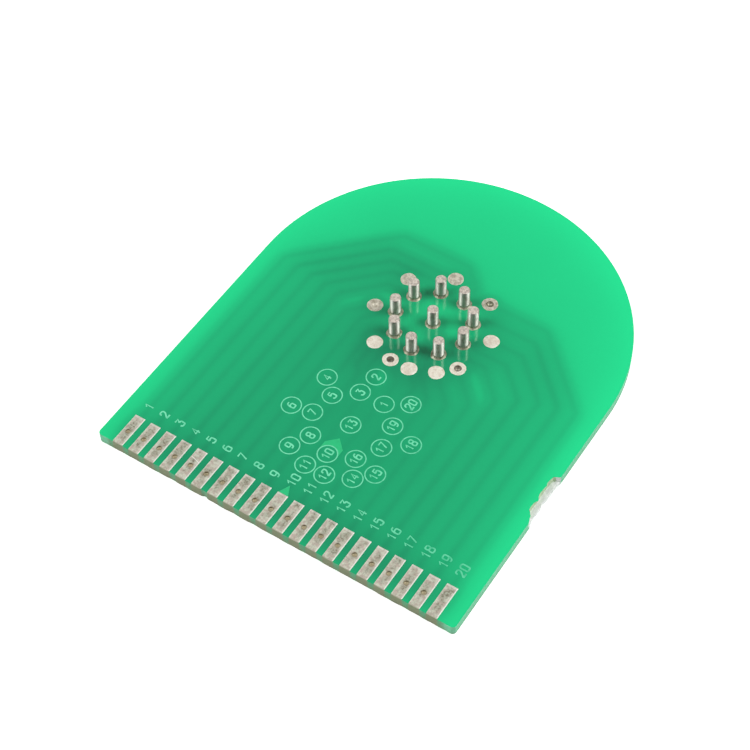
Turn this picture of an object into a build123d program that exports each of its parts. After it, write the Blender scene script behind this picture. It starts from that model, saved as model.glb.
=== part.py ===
from build123d import *

import os
from math import atan2, cos, degrees, radians, sin

# A round-ended adapter board. Twenty contacts along its straight edge are each wired by a
# copper track on the underside to one of ten soldered pins or ten soldered holes.
# Millimetres, +Z up, the board flat on its underside, the contact edge along X with
# contact 1 at -X, the round end towards +Y, the origin under the middle of the board.

# Laminate
board_thickness = 1.6
straight_length = 39.2
side_margin = 2.48
corner_radius = 0.55

# Edge contacts
contact_count = 20
contact_pitch = 2.54
contact_width = 1.58
contact_length = 4.95
contact_inset = 0.1
via_diameter = 0.6
via_setback = 2.35

# Copper
copper_thickness = 0.05
track_width = 0.6
pad_ring_width = 0.18
pad_sides = 8

# Pins and soldered holes, on two rings round the centre of the round end
pin_ring_radius = 5.5
ring_gap = 3.07
pin_diameter = 1.55
pin_tail_diameter = 1.0
pin_height = 3.0
pin_edge_break = 0.12
pin_solder_reach = 0.3
pin_solder_height = 0.36
pin_solder_crest = 0.08
pin_clearance = 0.01
hole_diameter = 1.1
hole_solder_reach = 0.58
hole_solder_rise = 0.09
dish_depth = 0.8
shoulder_share = 0.8
shoulder_rise_share = 0.6
dome_crown_share = 0.4
dish_mouth_share = 0.92
dish_floor_share = 0.4

# Sides of the small rounds, which repeat too often to be true circles
via_sides = 14
tail_sides = 8
solder_sides = 16

# Track lanes
crown_lane_gap = 2.9
fan_in_gap = 3.1
shortest_leg = 0.05

# Chip broken from the right-hand edge
chip_setback = 18.0
chip_length = 8.2
chip_depth = 1.0
chip_ledge_thickness = 0.6
cut_overrun = 1.0

# Derived places
board_width = contact_pitch * (contact_count - 1) + contact_width + 2 * side_margin
end_radius = board_width / 2
board_length = straight_length + end_radius
edge_y = -board_length / 2
ring_y = edge_y + straight_length
board_top = copper_thickness + board_thickness
hole_ring_radius = pin_ring_radius + ring_gap
pin_bore = pin_diameter / 2 + pin_clearance
tail_bore = pin_tail_diameter / 2 + pin_clearance
pad_width = pin_diameter + 2 * pad_ring_width
contact_y = edge_y + contact_inset + contact_length / 2
via_y = edge_y + via_setback

# Which contact goes where, by the angle of its pin or hole on its ring
centre_pins = (13,)
pin_angles = {1: 70, 3: 110, 5: 150, 7: 190, 8: 230, 10: 270, 16: 310, 17: 350, 19: 30}
hole_angles = {2: 100, 4: 145, 6: 190, 9: 235, 11: 260, 12: 280, 14: 305, 15: 325, 18: 10, 20: 55}
dished_holes = (6, 11, 15, 20)
filled_vias = (20,)

# How far each track runs straight before its bend, as a share of the way to the rings
bend_shares = {
    1: 0.98, 2: 0.97, 3: 0.96, 4: 0.95, 5: 0.94,
    16: 0.824, 17: 0.865, 18: 0.893, 19: 0.908, 20: 0.922,
}

# The chip in plan, as shares of its length along the edge and its depth into the board
chip_rim_shares = ((0, 0), (0.12, 0.35), (0.21, 1), (0.86, 1), (0.95, 0.8), (1, 0))
ledge_edge_shares = ((0.04, 0), (0.16, 0.3), (0.44, 0.2), (0.5, 0.45), (0.58, 0.25), (0.94, 0.15), (1, 0))


def contact_x(contact):
    """The place of a contact along the edge."""
    return (contact - (contact_count + 1) / 2) * contact_pitch


def joint_place(contact):
    """The place of the pin or the soldered hole that a contact is wired to."""
    if contact in centre_pins:
        return (0, ring_y)
    if contact in pin_angles:
        radius, angle = pin_ring_radius, radians(pin_angles[contact])
    else:
        radius, angle = hole_ring_radius, radians(hole_angles[contact])
    return (radius * cos(angle), ring_y + radius * sin(angle))


def middle(first, second):
    """The point halfway between the joints of two contacts, where a track passes between them."""
    (x_1, y_1), (x_2, y_2) = joint_place(first), joint_place(second)
    return ((x_1 + x_2) / 2, (y_1 + y_2) / 2)


def lane_corner(contact, lane_y):
    """Where a track, after its straight run and its diagonal, joins a lane across the board."""
    rise = lane_y - (edge_y + straight_length * bend_shares[contact])
    x = contact_x(contact)
    return (x - rise if x > 0 else x + rise, lane_y)


def way_points(contact):
    """The corners that a track is led round on its way to its joint, and the joint itself."""
    x, y = joint_place(contact)
    fan_in_y = joint_place(11)[1] - fan_in_gap
    if contact == 1:
        crown_y = ring_y + hole_ring_radius
        return [lane_corner(1, crown_y + crown_lane_gap), (x, crown_y), (x, y)]
    if contact == 3:
        return [lane_corner(3, middle(2, 4)[1]), (x, y)]
    if contact == 16:
        return [lane_corner(16, middle(15, 17)[1]), (x, y)]
    if contact == 19:
        return [lane_corner(19, middle(18, 20)[1]), (x, y)]
    if contact in bend_shares:
        return [lane_corner(contact, y), (x, y)]
    if contact == 8:
        gap_x = middle(6, 9)[0]
        return [(gap_x, joint_place(9)[1]), ((gap_x + x) / 2, y), (x, y)]
    if contact == 9:
        return [(x, fan_in_y), (x, y)]
    if contact == 10:
        gap_x = middle(9, 11)[0]
        return [(gap_x, fan_in_y), ((gap_x + x) / 2, y), (x, y)]
    if contact == 13:
        return [(middle(12, 14)[0], joint_place(12)[1]), middle(10, 16), (x, y)]
    return [(x, y)]


def track_route(contact):
    """A track's corners from its contact to its joint: each leg runs straight, then at 45 degrees."""
    route = [(contact_x(contact), via_y)]
    for x, y in way_points(contact):
        last_x, last_y = route[-1]
        across, along = x - last_x, y - last_y
        diagonal = min(abs(across), abs(along))
        step_x = diagonal if across > 0 else -diagonal
        step_y = diagonal if along > 0 else -diagonal
        for corner in ((x - step_x, y - step_y), (x, y)):
            if (Vector(*corner) - Vector(*route[-1])).length > shortest_leg:
                route.append(corner)
    return route


def chip_outline(shares):
    """The corners of a chip's plan, carried out past the board's edge."""
    inner = [
        (end_radius - chip_depth * deep, edge_y + chip_setback + chip_length * along)
        for along, deep in shares
    ]
    outer_x = end_radius + cut_overrun
    return [(outer_x, inner[0][1]), *inner, (outer_x, inner[-1][1])]


def make_board():
    """The laminate with its round end, via, pin and solder holes and the chip in its edge."""
    via_places = [(contact_x(n), via_y) for n in range(1, contact_count + 1)]
    pin_places = [joint_place(n) for n in (*pin_angles, *centre_pins)]
    hole_places = [joint_place(n) for n in hole_angles]
    with BuildPart() as board:
        with BuildSketch(Plane.XY.offset(copper_thickness)) as outline:
            with BuildLine():
                sides = Polyline(
                    (-end_radius, ring_y),
                    (-end_radius, edge_y),
                    (end_radius, edge_y),
                    (end_radius, ring_y),
                )
                ThreePointArc(sides @ 0, (0, ring_y + end_radius), sides @ 1)
            make_face()
            fillet(outline.vertices().group_by(Axis.Y)[0], corner_radius)
            with Locations(*via_places):
                RegularPolygon(via_diameter / 2, via_sides, mode=Mode.SUBTRACT)
            with Locations(*pin_places):
                RegularPolygon(tail_bore, tail_sides, major_radius=False, mode=Mode.SUBTRACT)
            with Locations(*hole_places):
                RegularPolygon(hole_diameter / 2, solder_sides, mode=Mode.SUBTRACT)
        extrude(amount=board_thickness)
        with BuildSketch(Plane.XY.offset(board_top)):
            Polygon(*chip_outline(chip_rim_shares), align=None)
        extrude(amount=chip_ledge_thickness - board_thickness, mode=Mode.SUBTRACT)
        with BuildSketch(Plane.XY.offset(copper_thickness)):
            Polygon(*chip_outline(ledge_edge_shares), align=None)
        extrude(amount=chip_ledge_thickness, mode=Mode.SUBTRACT)
    return board.part


def make_net(contact):
    """One contact's copper: its top face at the edge, and its underside face, track and pad."""
    contact_place = (contact_x(contact), contact_y)
    via_place = (contact_x(contact), via_y)
    with BuildPart() as net:
        with BuildSketch(Plane.XY):
            with BuildLine():
                Polyline(*track_route(contact))
            trace(line_width=track_width)
            with Locations(contact_place):
                Rectangle(contact_width, contact_length)
            with Locations(joint_place(contact)):
                RegularPolygon(pad_width / 2, pad_sides, major_radius=False, rotation=180 / pad_sides)
        extrude(amount=copper_thickness)
        with BuildSketch(Plane.XY.offset(board_top)):
            with Locations(contact_place):
                Rectangle(contact_width, contact_length)
            if contact not in filled_vias:
                with Locations(via_place):
                    RegularPolygon(via_diameter / 2, via_sides, mode=Mode.SUBTRACT)
        extrude(amount=copper_thickness)
        if contact in filled_vias:
            with BuildSketch(Plane.XY.offset(copper_thickness)):
                with Locations(via_place):
                    RegularPolygon(via_diameter / 2, via_sides)
            extrude(amount=board_thickness)
    return net.part


def make_pin(contact):
    """A turned pin: it stands on a shoulder, with a thin tail through the board to the underside pad."""
    with BuildPart() as pin:
        with BuildSketch(Plane.XY.offset(copper_thickness)):
            with Locations(joint_place(contact)):
                RegularPolygon(pin_tail_diameter / 2, tail_sides, major_radius=False)
        extrude(amount=board_thickness)
        with BuildSketch(Plane.XY.offset(board_top)):
            with Locations(joint_place(contact)):
                Circle(pin_diameter / 2)
        extrude(amount=pin_height)
        chamfer(pin.edges().group_by(Axis.Z)[-1], pin_edge_break)
    return pin.part


def add_taper(contact, base, low_radius, high_radius, rise, mode=Mode.ADD):
    """Adds a many-sided cone to the part being built, over a joint and from a height up or down."""
    slope = degrees(atan2(low_radius - high_radius, abs(rise)))
    with BuildSketch(Plane.XY.offset(base)) as ring:
        with Locations(joint_place(contact)):
            RegularPolygon(low_radius, solder_sides)
    extrude(ring.sketch, amount=rise, taper=slope, mode=mode)


def make_pin_solder(contact):
    """The solder that climbs the foot of a pin, a cone with a bore that just clears the pin."""
    foot = pin_diameter / 2 + pin_solder_reach
    crest = pin_diameter / 2 + pin_solder_crest
    with BuildPart() as solder:
        add_taper(contact, board_top, foot, crest, pin_solder_height)
        with BuildSketch(Plane.XY.offset(board_top)):
            with Locations(joint_place(contact)):
                RegularPolygon(pin_bore, solder_sides, major_radius=False)
        extrude(amount=pin_solder_height, mode=Mode.SUBTRACT)
    return solder.part


def make_hole_solder(contact):
    """The solder that fills a hole: domed over its pad, or sunk into the hole as a dish."""
    bore = hole_diameter / 2
    rim = bore + hole_solder_reach
    shoulder = rim * shoulder_share
    shoulder_rise = hole_solder_rise * shoulder_rise_share
    with BuildPart() as solder:
        with BuildSketch(Plane.XY.offset(copper_thickness)):
            with Locations(joint_place(contact)):
                RegularPolygon(bore, solder_sides)
        extrude(amount=board_thickness)
        add_taper(contact, board_top, rim, shoulder, shoulder_rise)
        shoulder_top = board_top + shoulder_rise
        if contact in dished_holes:
            mouth, floor = bore * dish_mouth_share, bore * dish_floor_share
            add_taper(contact, shoulder_top, mouth, floor, -dish_depth, Mode.SUBTRACT)
        else:
            crown = rim * dome_crown_share
            add_taper(contact, shoulder_top, shoulder, crown, hole_solder_rise - shoulder_rise)
    return solder.part


pieces = {"board": make_board()}
for number in range(1, contact_count + 1):
    pieces[f"net_{number:02d}"] = make_net(number)
for number in sorted((*pin_angles, *centre_pins)):
    pieces[f"pin_{number:02d}"] = make_pin(number)
    pieces[f"pin_solder_{number:02d}"] = make_pin_solder(number)
for number in sorted(hole_angles):
    pieces[f"hole_solder_{number:02d}"] = make_hole_solder(number)

os.makedirs("parts", exist_ok=True)
for name, piece in pieces.items():
    piece.label = name
    export_step(piece, f"parts/{name}.step")
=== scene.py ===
"""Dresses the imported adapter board: glossy green mask, tinned copper, turned pins, solder and print."""

import logging
import math
from dataclasses import dataclass, field, replace
from enum import Enum
from typing import Any, Sequence

import bmesh
import bpy
import numpy as np
from mathutils import Euler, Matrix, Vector, noise


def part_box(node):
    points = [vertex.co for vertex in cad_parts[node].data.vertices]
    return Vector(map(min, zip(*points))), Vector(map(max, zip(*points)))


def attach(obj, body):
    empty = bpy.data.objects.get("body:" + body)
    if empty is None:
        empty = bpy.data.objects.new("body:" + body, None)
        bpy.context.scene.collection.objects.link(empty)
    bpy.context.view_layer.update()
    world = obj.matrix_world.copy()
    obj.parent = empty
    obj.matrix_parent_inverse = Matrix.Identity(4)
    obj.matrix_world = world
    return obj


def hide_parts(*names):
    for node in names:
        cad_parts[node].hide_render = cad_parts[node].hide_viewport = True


LOG = logging.getLogger("adapter_board")
MM = 0.001
ROOT = "root"
SHARP_ANGLE = math.radians(35)
FLAT_ANGLE = math.radians(0.5)
MERGE = 1e-7
UP = Vector((0, 0, 1))
CONTACTS = range(1, 21)
OPEN_VIAS = CONTACTS[:-1]

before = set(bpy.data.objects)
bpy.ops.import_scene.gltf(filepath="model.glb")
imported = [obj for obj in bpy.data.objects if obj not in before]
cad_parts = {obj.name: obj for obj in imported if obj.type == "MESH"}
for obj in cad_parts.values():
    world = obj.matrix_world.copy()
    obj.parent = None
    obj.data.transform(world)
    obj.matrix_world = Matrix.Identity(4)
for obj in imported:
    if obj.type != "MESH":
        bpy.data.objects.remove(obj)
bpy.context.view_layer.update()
LOW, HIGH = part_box("board")

BMesh = bmesh.types.BMesh
Material = bpy.types.Material
Socket = bpy.types.NodeSocket
Colour = tuple[float, float, float, float]
Triple = tuple[float, float, float]
Span = tuple[float, float]


def screen(red: int, green: int, blue: int) -> Colour:
    """Turns a screen colour of 0 to 255 into linear light with a full alpha."""
    levels = [part / 255 for part in (red, green, blue)]
    light = [v / 12.92 if v <= 0.04045 else ((v + 0.055) / 1.055) ** 2.4 for v in levels]
    return (light[0], light[1], light[2], 1.0)


# Shader maths


class Value:
    """A number socket that takes part in Python sums by adding Math nodes."""

    def __init__(self, tree: bpy.types.NodeTree, socket: Socket) -> None:
        """Holds the socket and the tree that it is in."""
        self.tree = tree
        self.socket = socket

    def sum_node(self, operation: str, *terms: "Value | float") -> "Value":
        """The result of one Math node, whose inputs are sockets or numbers."""
        node = self.tree.nodes.new("ShaderNodeMath")
        node.operation = operation
        for socket, term in zip(node.inputs, terms):
            if isinstance(term, Value):
                self.tree.links.new(term.socket, socket)
            else:
                socket.default_value = term
        return Value(self.tree, node.outputs[0])

    def __add__(self, other: "Value | float") -> "Value":
        """This plus a value."""
        return self.sum_node("ADD", self, other)

    def __sub__(self, other: "Value | float") -> "Value":
        """This less a value."""
        return self.sum_node("SUBTRACT", self, other)

    def __rsub__(self, other: float) -> "Value":
        """A number less this."""
        return self.sum_node("SUBTRACT", other, self)

    def __mul__(self, other: "Value | float") -> "Value":
        """This times a value."""
        return self.sum_node("MULTIPLY", self, other)

    def __gt__(self, other: "Value | float") -> "Value":
        """One where this is the greater, else zero."""
        return self.sum_node("GREATER_THAN", self, other)

    def __neg__(self) -> "Value":
        """This with its sign turned."""
        return self.sum_node("SUBTRACT", 0.0, self)

    def __abs__(self) -> "Value":
        """This without its sign."""
        return self.sum_node("ABSOLUTE", self)

    __radd__ = __add__
    __rmul__ = __mul__

    def step(self, low: float, high: float, start: float = 0.0, end: float = 1.0) -> "Value":
        """A smooth change from one level to another.

        Args:
            low: Where the change starts.
            high: Where it ends.
            start: The level before it.
            end: The level after it.

        Returns:
            The smoothed level.
        """
        node = self.tree.nodes.new("ShaderNodeMapRange")
        node.interpolation_type = "SMOOTHSTEP"
        self.tree.links.new(self.socket, node.inputs["Value"])
        for name, value in (("From Min", low), ("From Max", high), ("To Min", start), ("To Max", end)):
            node.inputs[name].default_value = value
        return Value(self.tree, node.outputs["Result"])

    def fall(self, low: float, high: float) -> "Value":
        """A smooth fall from one to zero."""
        return self.step(low, high, 1.0, 0.0)

    def into(self, low: float, high: float) -> "Value":
        """This share, laid out evenly between two levels."""
        return low + (high - low) * self


class Nodes:
    """A node tree, with short calls for adding nodes."""

    def __init__(self, tree: bpy.types.NodeTree) -> None:
        """Holds the tree."""
        self.tree = tree

    def node(self, kind: str, settings: dict[str, Any], inputs: dict[str | int, Any]) -> bpy.types.Node:
        """Adds any node.

        Args:
            kind: The node's type.
            settings: Its properties, set first.
            inputs: Its sockets by name or number, with a value, a Value or a socket for each.

        Returns:
            The node.
        """
        made = self.tree.nodes.new(kind)
        for name, setting in settings.items():
            setattr(made, name, setting)
        for key, value in inputs.items():
            self.feed(made.inputs[key], value)
        return made

    def feed(self, socket: Socket, value: Any) -> None:
        """Links an input to a Value or a socket, or sets it to a number or a colour."""
        if isinstance(value, Value):
            self.tree.links.new(value.socket, socket)
        elif isinstance(value, Socket):
            self.tree.links.new(value, socket)
        else:
            socket.default_value = value

    def facing(self, way: Socket, axis: Sequence[float]) -> Value:
        """How far a direction agrees with an axis."""
        made = self.node("ShaderNodeVectorMath", {"operation": "DOT_PRODUCT"}, {0: way, 1: axis})
        return Value(self.tree, made.outputs["Value"])

    def ramp(self, share: Value, stops: Sequence[tuple[float, Colour]]) -> Socket:
        """A colour from a ramp between two stops, each a place and a colour."""
        made = self.node("ShaderNodeValToRGB", {}, {0: share})
        for stop, (place, colour) in zip(made.color_ramp.elements, stops):
            stop.position = place
            stop.color = colour
        return made.outputs[0]


@dataclass(frozen=True)
class Grain:
    """One cloudy noise: its size in metres, its finer layers and how it is squeezed along each axis."""

    size: float
    detail: float = 3.0
    rough: float = 0.6
    squeeze: Triple = (1, 1, 1)


class Paint(Nodes):
    """One material's node tree, with short calls for the nodes that the finishes share."""

    def __init__(self, name: str) -> None:
        """Makes the material under its name."""
        self.material = bpy.data.materials.new(name)
        self.material.use_nodes = True
        super().__init__(self.material.node_tree)
        self.shader = self.tree.nodes["Principled BSDF"]

    def set(self, **sockets: Any) -> None:
        """Feeds the shader's sockets, each named in lower case with underscores."""
        for name, value in sockets.items():
            self.feed(self.shader.inputs[name.replace("_", " ").title().replace("Ior", "IOR")], value)

    def place(self) -> Socket:
        """The Object coordinates."""
        return self.node("ShaderNodeTexCoord", {}, {}).outputs["Object"]

    def axis(self, letter: str) -> Value:
        """One Object coordinate, in metres."""
        split = self.node("ShaderNodeSeparateXYZ", {}, {"Vector": self.place()})
        return Value(self.tree, split.outputs[letter])

    def grain(self, grain: Grain) -> Value:
        """Cloudy noise in Object coordinates, about a half."""
        spread = self.node("ShaderNodeMapping", {}, {"Vector": self.place(), "Scale": grain.squeeze})
        made = self.node("ShaderNodeTexNoise", {}, {
            "Vector": spread.outputs[0], "Scale": 1 / grain.size, "Detail": grain.detail,
            "Roughness": grain.rough,
        })
        return Value(self.tree, made.outputs["Factor" if "Factor" in made.outputs else "Fac"])

    def mix(self, share: Value | float, first: Any, second: Any) -> Socket:
        """A colour between two."""
        made = self.node("ShaderNodeMix", {"data_type": "RGBA"}, {0: share, 6: first, 7: second})
        return made.outputs[2]

    def attribute(self, name: str) -> Value:
        """A number that the mesh holds at each point."""
        made = self.node("ShaderNodeAttribute", {"attribute_name": name}, {})
        return Value(self.tree, made.outputs["Fac"])

    def bump(self, height: Value, depth: float, strength: float) -> None:
        """Makes the surface look raised by a height, to a depth in metres."""
        made = self.node("ShaderNodeBump", {}, {"Height": height, "Distance": depth, "Strength": strength})
        self.feed(self.shader.inputs["Normal"], made.outputs[0])


# Finishes


@dataclass(frozen=True)
class ContactRow:
    """Where the contacts lie along the edge."""

    pitch: float = 2.54 * MM
    front: float = -33.3 * MM
    back: float = -28.35 * MM
    via_y: float = -30.95 * MM
    last_open_via: float = 23.0 * MM
    end: float = 25.0 * MM

    def across(self, paint: Paint) -> Value:
        """How far a place lies to the right of the middle of its contact, in metres."""
        half = self.pitch / 2
        x = paint.axis("X")
        return x.sum_node("WRAP", x + half, half, -half)


ROW = ContactRow()


@dataclass(frozen=True)
class MaskFinish:
    """Glossy green solder mask, with painted light and shade: brighter where no copper lies below it,
    darker over the underside copper, and bare before each contact.
    """

    # Painted shade and painted light: the mask's green where underside copper holds back the light, and
    # where the light comes through.
    deep: Colour = (0.003, 0.211, 0.104, 1.0)
    clear: Colour = (0.012, 1.0, 0.373, 1.0)
    bare: Colour = screen(198, 194, 174)
    ior: float = 2.3
    rough: Span = (0.045, 0.085)
    haze: Grain = Grain(4 * MM, 4.0)
    weave: Grain = Grain(0.5 * MM, 2.0)
    weave_share: float = 0.035
    drift: Grain = Grain(9 * MM, 2.0, 0.5)
    drift_share: float = 0.05
    ripple: Grain = Grain(1.1 * MM, 2.0, 0.5)
    relief: Span = (0.008 * MM, 0.3)
    strip_end: Span = (0.12 * MM, 0.156 * MM)
    strip_side: Span = (0.7347 * MM, 0.79 * MM)

    def paint(self) -> Material:
        """Makes the material, which reads the board's glow attribute of painted light and shade."""
        made = Paint("green_mask")
        weave = (made.grain(self.weave) - 0.5) * self.weave_share
        drift = (made.grain(self.drift) - 0.5) * self.drift_share
        # Painted light and shade from the glow, with a little random weave and drift.
        green = made.mix(made.attribute("glow") + weave + drift, self.deep, self.clear)
        strip = (made.axis("Y") - ROW.front).fall(*self.strip_end)
        strip = strip * abs(ROW.across(made)).fall(*self.strip_side) * (1 - (abs(made.axis("X")) > ROW.end))
        made.set(
            base_color=made.mix(strip, green, self.bare),
            roughness=made.grain(self.haze).into(*self.rough),
            ior=self.ior,
        )
        made.bump(made.grain(self.ripple), *self.relief)
        return made.material


@dataclass(frozen=True)
class EdgeFinish:
    """The sawn edge of the laminate: layers of glass and resin, green between the contacts, with painted
    light on the side walls and painted shade at the foot.
    """

    name: str = "sawn_edge"
    resin: Colour = screen(132, 140, 106)
    # The glass colour also stands for painted light, where the side walls glow.
    glass: Colour = screen(118, 206, 162)
    green: Colour = screen(78, 170, 122)
    # Painted shade at the foot of the wall.
    shadow: Colour = screen(122, 126, 96)
    layers: Grain = Grain(0.9 * MM, squeeze=(1, 1, 9))
    layer_share: float = 0.3
    fibres: Grain = Grain(0.4 * MM, squeeze=(0.6, 0.6, 2))
    fibre_share: float = 0.3
    rough: Span = (0.55, 0.75)
    relief: Span = (0.05 * MM, 0.5)
    front_depth: Span = (0.0, 0.5 * MM)
    lit_level: Span = (0.1, 0.5)
    gap_side: Span = (0.66 * MM, 1.0 * MM)
    gap_rise: Span = (0.1 * MM, 1.5 * MM)
    gap_shares: Span = (0.4, 0.95)
    foot_rise: Span = (0.1 * MM, 0.8 * MM)
    foot_shares: Span = (0.35, 0.0)
    foot_fibres: float = 0.5

    def paint(self) -> Material:
        """Makes the material."""
        made = Paint(self.name)
        layers = made.grain(self.layers)
        fibres = made.grain(self.fibres) - 0.5
        height = made.axis("Z")
        sawn_front = (made.axis("Y") - ROW.front).fall(*self.front_depth)
        sawn_front = sawn_front * abs(made.axis("X")).fall(ROW.end, ROW.end + ROW.pitch / 2)
        # Painted light: the side walls lighten where the board's glow is high; the front wall stays resin.
        lit = made.attribute("glow").step(*self.lit_level) * (1 - sawn_front)
        sawn = made.mix(lit + (layers - 0.5) * self.layer_share, self.resin, self.glass)
        gap = abs(ROW.across(made)).step(*self.gap_side) * sawn_front
        gap = gap * height.step(*self.gap_rise, *self.gap_shares)
        tinted = made.mix(gap + fibres * self.fibre_share, sawn, self.green)
        # Painted shade: darker towards the foot, broken up by the fibres.
        foot = height.step(*self.foot_rise, *self.foot_shares) + fibres * self.foot_fibres
        made.set(base_color=made.mix(foot, tinted, self.shadow), roughness=layers.into(*self.rough))
        made.bump(layers, *self.relief)
        return made.material


# The torn edge's colours: resin, glass (also painted light), green, and the painted shade at the foot.
BROKEN_EDGE = EdgeFinish(
    "broken_edge", screen(206, 208, 174), screen(190, 214, 176), screen(160, 196, 150),
    screen(170, 178, 140),
)


@dataclass(frozen=True)
class TinFinish:
    """Dull tin on the contacts: rubbed in the middle, with a painted highlight along the rim, scratched and
    stained.
    """

    light: Colour = screen(216, 217, 199)
    rose: Colour = screen(198, 185, 171)
    dark: Colour = screen(112, 106, 84)
    olive: Colour = screen(163, 166, 144)
    flux: Colour = screen(128, 108, 70)
    # Painted highlight colour along the contacts' edges, also the colour of the scratch.
    rim: Colour = screen(255, 254, 246)
    blots: Grain = Grain(0.55 * MM)
    blot_level: Span = (0.4, 0.6)
    clouds: Grain = Grain(1.3 * MM, 2.0, 0.5)
    wear_side: Span = (0.15 * MM, 0.65 * MM)
    wear_gain: float = 0.22
    wear_level: Span = (0.5, 0.78)
    wear_front: Span = (0.5 * MM, 1.5 * MM)
    wear_shares: Span = (0.25, 1.0)
    olive_share: float = 0.6
    specks: Grain = Grain(0.26 * MM, rough=0.7)
    speck_level: Span = (0.47, 0.62)
    speck_shares: Span = (0.18, 0.78)
    hairlines: Grain = Grain(0.5 * MM, 2.0, 0.5, (3.5, 0.16, 1))
    hairline_level: Span = (0.63, 0.72)
    hairline_share: float = 0.6
    stain_reach: Span = (0.28 * MM, 0.5 * MM)
    stain_share: float = 0.7
    # Painted highlights: brightest along each contact's right edge, fainter at its back and to the left.
    rim_right: Span = (0.6 * MM, 0.7 * MM)
    rim_left: Span = (0.63 * MM, 0.73 * MM)
    rim_left_share: float = 0.3
    rim_back: Span = (-0.22 * MM, -0.12 * MM)
    rim_back_share: float = 0.4
    rim_share: float = 0.8
    scratch: Span = (-13.93 * MM, -29.92 * MM)
    scratch_slope: float = 0.276
    scratch_width: Span = (0.02 * MM, 0.08 * MM)
    scratch_length: Span = (0.6 * MM, 0.78 * MM)
    scratch_shares: Span = (0.85, 0.0)
    scratch_relief: float = 0.4
    rough: Span = (0.42, 0.62)
    metal: Span = (0.12, 0.24)
    relief: Span = (0.02 * MM, 0.55)

    def paint(self) -> Material:
        """Makes the material in layers: tone, wear, specks and hairlines, stains, painted highlights along
        the rims and the scratch.
        """
        made = Paint("speckled_tin")
        across = ROW.across(made)
        blots = made.grain(self.blots)
        specks = made.grain(self.specks)
        hairlines = made.grain(self.hairlines).step(*self.hairline_level)
        rubbed = self.wear(made, across)
        tone = made.mix(blots.step(*self.blot_level), self.rose, self.light)
        tone = made.mix(rubbed * self.olive_share, tone, self.olive)
        tone = made.mix(hairlines * self.hairline_share, tone, self.light)
        pits = specks.step(*self.speck_level) * rubbed.into(*self.speck_shares)
        tone = made.mix(pits, tone, self.dark)
        tone = made.mix(self.stain(made, across) * self.stain_share, tone, self.flux)
        cut = self.cut(made)
        # Painted highlights along the rims, with the scratch, in the highlight colour.
        made.set(
            base_color=made.mix(self.rims(made, across) * self.rim_share + cut, tone, self.rim),
            roughness=specks.into(*self.rough),
            metallic=blots.into(*self.metal),
        )
        made.bump(specks + (hairlines + cut) * self.scratch_relief, *self.relief)
        return made.material

    def wear(self, made: Paint, across: Value) -> Value:
        """How far the tin is rubbed: most along the middle, least at the front."""
        middle = self.wear_gain * abs(across).fall(*self.wear_side)
        rubbed = (made.grain(self.clouds) + middle).step(*self.wear_level)
        return rubbed * (made.axis("Y") - ROW.front).step(*self.wear_front, *self.wear_shares)

    def stain(self, made: Paint, across: Value) -> Value:
        """The stain of flux round each open via."""
        along = made.axis("Y") - ROW.via_y
        distance = across.sum_node("SQRT", across * across + along * along)
        return distance.fall(*self.stain_reach) * (1 - (made.axis("X") > ROW.last_open_via))

    def rims(self, made: Paint, across: Value) -> Value:
        """The painted highlights of a contact: bright along its right edge, fainter at its back and to the
        left.
        """
        back = self.rim_back_share * (made.axis("Y") - ROW.back).step(*self.rim_back)
        return across.step(*self.rim_right) + back + self.rim_left_share * (-across).step(*self.rim_left)

    def cut(self, made: Paint) -> Value:
        """The long scratch across contact 5."""
        offset = made.axis("X") - self.scratch[0]
        line = made.axis("Y") - self.scratch[1] + self.scratch_slope * offset
        within = abs(offset).step(*self.scratch_length, *self.scratch_shares)
        return abs(line).fall(*self.scratch_width) * within


@dataclass(frozen=True)
class CloudyFinish:
    """Two colours in clouds, which also change the roughness and the relief."""

    name: str
    first: Colour
    second: Colour
    clouds: Grain
    rough: Span
    relief: Span
    level: Span | None = None
    weight: float = 1.0
    metal: float = 0.0

    def share(self, made: Paint, clouds: Value) -> Value:
        """How much there is of the second colour."""
        return (clouds.step(*self.level) if self.level else clouds) * self.weight

    def paint(self) -> Material:
        """Makes the material."""
        made = Paint(self.name)
        clouds = made.grain(self.clouds)
        made.set(
            base_color=made.mix(self.share(made, clouds), self.first, self.second),
            roughness=clouds.into(*self.rough),
            metallic=self.metal,
        )
        made.bump(clouds, *self.relief)
        return made.material


BARE_CLOTH = CloudyFinish(
    "bare_glass_cloth", screen(224, 232, 226), screen(255, 255, 255), Grain(0.35 * MM, squeeze=(4, 1, 1)),
    rough=(0.75, 0.9), relief=(0.06 * MM, 0.6), level=(0.35, 0.7),
)
VIA_WALL = CloudyFinish(
    "via_wall", screen(112, 94, 60), screen(70, 58, 36), Grain(0.2 * MM, rough=0.5),
    rough=(0.4, 0.6), relief=(0.02 * MM, 0.5), metal=0.3,
)
OLD_FLUX = replace(VIA_WALL, name="old_flux", first=screen(216, 204, 168), second=screen(170, 156, 120))
MASKED_TRACK = CloudyFinish(
    "masked_track", screen(24, 120, 78), screen(30, 146, 94), Grain(2 * MM, rough=0.5),
    rough=(0.16, 0.26), relief=(0.01 * MM, 0.4), weight=0.4,
)
PIN_TOP = CloudyFinish(
    "pin_top", screen(246, 234, 220), screen(184, 174, 162), Grain(0.3 * MM, 4.0, 0.65),
    rough=(0.38, 0.58), relief=(0.05 * MM, 0.6), level=(0.35, 0.7), metal=0.35,
)


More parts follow.
